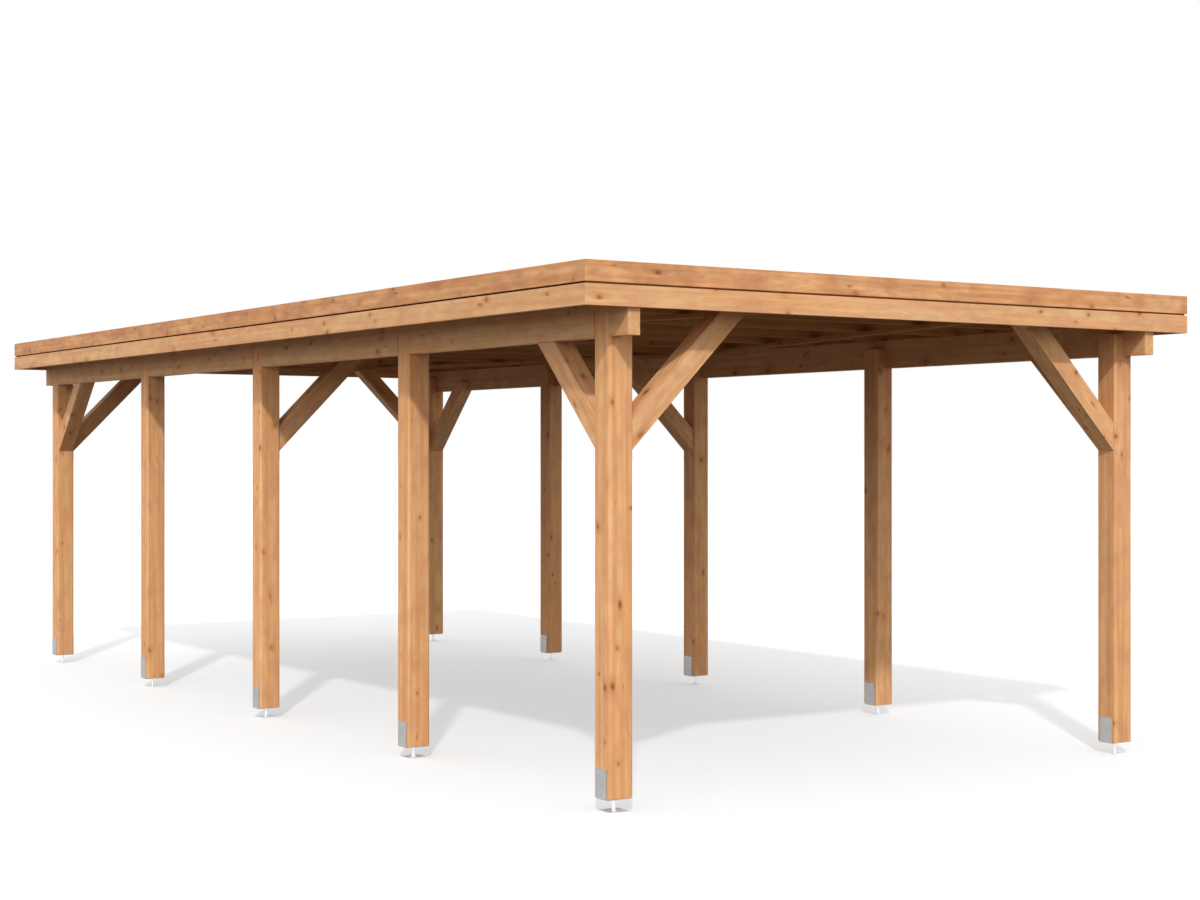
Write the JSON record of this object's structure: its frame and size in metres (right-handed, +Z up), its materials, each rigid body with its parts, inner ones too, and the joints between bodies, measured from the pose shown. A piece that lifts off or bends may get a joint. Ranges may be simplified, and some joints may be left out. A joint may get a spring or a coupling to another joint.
{
  "type": "flat-roofed timber pergola",
  "caption": "Free-standing flat-roofed timber pergola: chamfered posts on steel anchors, long beams, joists, boarded roof, stacked fascia boards, diagonal braces and wind braces.",
  "frame": {"origin": "centre of the ground area under the roof, at ground level", "axes": "+X across the roof from the left row to the right row, +Y along the rows from the front end to the back end, +Z up"},
  "size_m": [3.6, 7.64, 2.3],
  "materials": {
    "post_timber": "planed, oiled",
    "beam_timber": "planed, oiled",
    "brace_timber": "planed, oiled",
    "joist_timber": "planed",
    "fascia_timber": "planed, oiled",
    "roof_board_timber": "planed",
    "galvanised_steel": "hot-dip galvanised",
    "roof_sheet": "matt mineral"
  },
  "bodies": {
    "root": {"post_left_1": "post_timber", "post_left_2": "post_timber", "post_left_3": "post_timber", "post_left_4": "post_timber", "post_left_5": "post_timber", "post_right_1": "post_timber", "post_right_2": "post_timber", "post_right_3": "post_timber", "post_right_4": "post_timber", "post_right_5": "post_timber", "post_anchor_left_1": "galvanised_steel", "post_anchor_left_2": "galvanised_steel", "post_anchor_left_3": "galvanised_steel", "post_anchor_left_4": "galvanised_steel", "post_anchor_left_5": "galvanised_steel", "post_anchor_right_1": "galvanised_steel", "post_anchor_right_2": "galvanised_steel", "post_anchor_right_3": "galvanised_steel", "post_anchor_right_4": "galvanised_steel", "post_anchor_right_5": "galvanised_steel", "beam_left": "beam_timber", "beam_right": "beam_timber", "side_brace_front_left": "brace_timber", "side_brace_front_right": "brace_timber", "side_brace_back_left": "brace_timber", "side_brace_back_right": "brace_timber", "cross_brace_front_left": "brace_timber", "cross_brace_front_right": "brace_timber", "cross_brace_middle_left": "brace_timber", "cross_brace_middle_right": "brace_timber", "cross_brace_back_left": "brace_timber", "cross_brace_back_right": "brace_timber", "joists": "joist_timber", "wind_braces": "joist_timber", "rim_boards": "joist_timber", "fascia_lower_front": "fascia_timber", "fascia_lower_back": "fascia_timber", "fascia_lower_left": "fascia_timber", "fascia_lower_right": "fascia_timber", "fascia_upper_front": "fascia_timber", "fascia_upper_back": "fascia_timber", "fascia_upper_left": "fascia_timber", "fascia_upper_right": "fascia_timber", "roof_boards": "roof_board_timber", "roof_sheet": "roof_sheet"}
  },
  "joints": []
}
